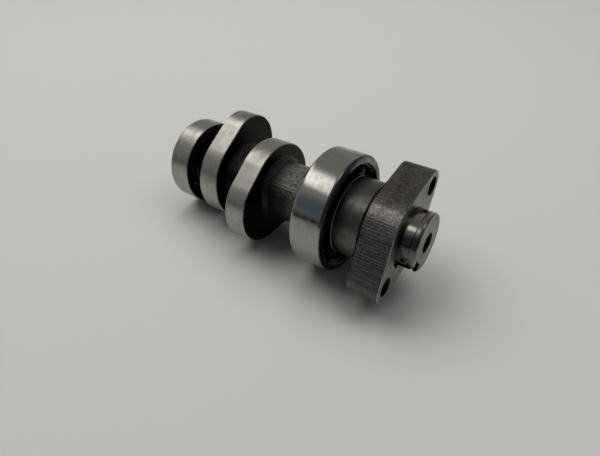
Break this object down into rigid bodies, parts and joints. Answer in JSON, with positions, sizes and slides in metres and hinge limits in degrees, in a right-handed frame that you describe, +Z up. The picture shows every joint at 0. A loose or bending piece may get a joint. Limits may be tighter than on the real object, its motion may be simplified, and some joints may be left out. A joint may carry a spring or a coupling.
{
  "type": "camshaft",
  "caption": "Forged camshaft with offset lobes, a keyed sprocket flange, a spacer collar and an open ball bearing at each end, lying on its bearings.",
  "frame": {"origin": "centre of the bottom of the whole object's box, on the floor it lies on", "axes": "+X along the shaft towards the sprocket flange, which stands up from the floor by the small angle at which the shaft lies on its two outer rings; +Z up"},
  "size_m": [0.1008, 0.0436, 0.0427],
  "materials": {
    "camshaft_steel": "ground lobes and journals, dark as-forged shaft",
    "collar_steel": "dark satin, turned",
    "flange_steel": "milled flanks with light staining, matt face",
    "key_steel": "plain drawn",
    "bearing_steel": "fine ground",
    "ball_steel": "polished",
    "cage_steel": "pressed, oily"
  },
  "bodies": {
    "front_bearing_outer": {"front_outer_ring": "bearing_steel"},
    "camshaft": {"camshaft": "camshaft_steel", "spacer_collar": "collar_steel", "sprocket_flange": "flange_steel", "flange_key": "key_steel", "front_inner_ring": "bearing_steel", "rear_inner_ring": "bearing_steel"},
    "front_bearing_cage": {"front_cage_front": "cage_steel", "front_cage_rear": "cage_steel", "front_cage_rivets": "cage_steel", "front_ball_1": "ball_steel", "front_ball_2": "ball_steel", "front_ball_3": "ball_steel", "front_ball_4": "ball_steel", "front_ball_5": "ball_steel", "front_ball_6": "ball_steel", "front_ball_7": "ball_steel", "front_ball_8": "ball_steel", "front_ball_9": "ball_steel"},
    "rear_bearing_outer": {"rear_outer_ring": "bearing_steel"},
    "rear_bearing_cage": {"rear_cage_front": "cage_steel", "rear_cage_rear": "cage_steel", "rear_cage_rivets": "cage_steel", "rear_ball_1": "ball_steel", "rear_ball_2": "ball_steel", "rear_ball_3": "ball_steel", "rear_ball_4": "ball_steel", "rear_ball_5": "ball_steel", "rear_ball_6": "ball_steel", "rear_ball_7": "ball_steel", "rear_ball_8": "ball_steel", "rear_ball_9": "ball_steel"}
  },
  "joints": [
    {"name": "camshaft_spin", "type": "hinge", "parent": "front_bearing_outer", "child": "camshaft", "pos_m": [0.01655, 0.00075, 0.02134], "axis": [0.9966, 0, 0.0824], "continuous": true},
    {"name": "front_cage_spin", "type": "hinge", "parent": "front_bearing_outer", "child": "front_bearing_cage", "pos_m": [0.01655, 0.00075, 0.02134], "axis": [0.9966, 0, 0.0824], "continuous": true},
    {"name": "rear_outer_spin", "type": "hinge", "parent": "camshaft", "child": "rear_bearing_outer", "pos_m": [-0.04464, 0.00075, 0.01628], "axis": [0.9966, 0, 0.0824], "continuous": true},
    {"name": "rear_cage_spin", "type": "hinge", "parent": "camshaft", "child": "rear_bearing_cage", "pos_m": [-0.04464, 0.00075, 0.01628], "axis": [0.9966, 0, 0.0824], "continuous": true}
  ],
  "couplings": [
    {"joint": "front_cage_spin", "follows": "camshaft_spin", "ratio": 0.39758},
    {"joint": "rear_cage_spin", "follows": "rear_outer_spin", "ratio": 0.60132}
  ]
}
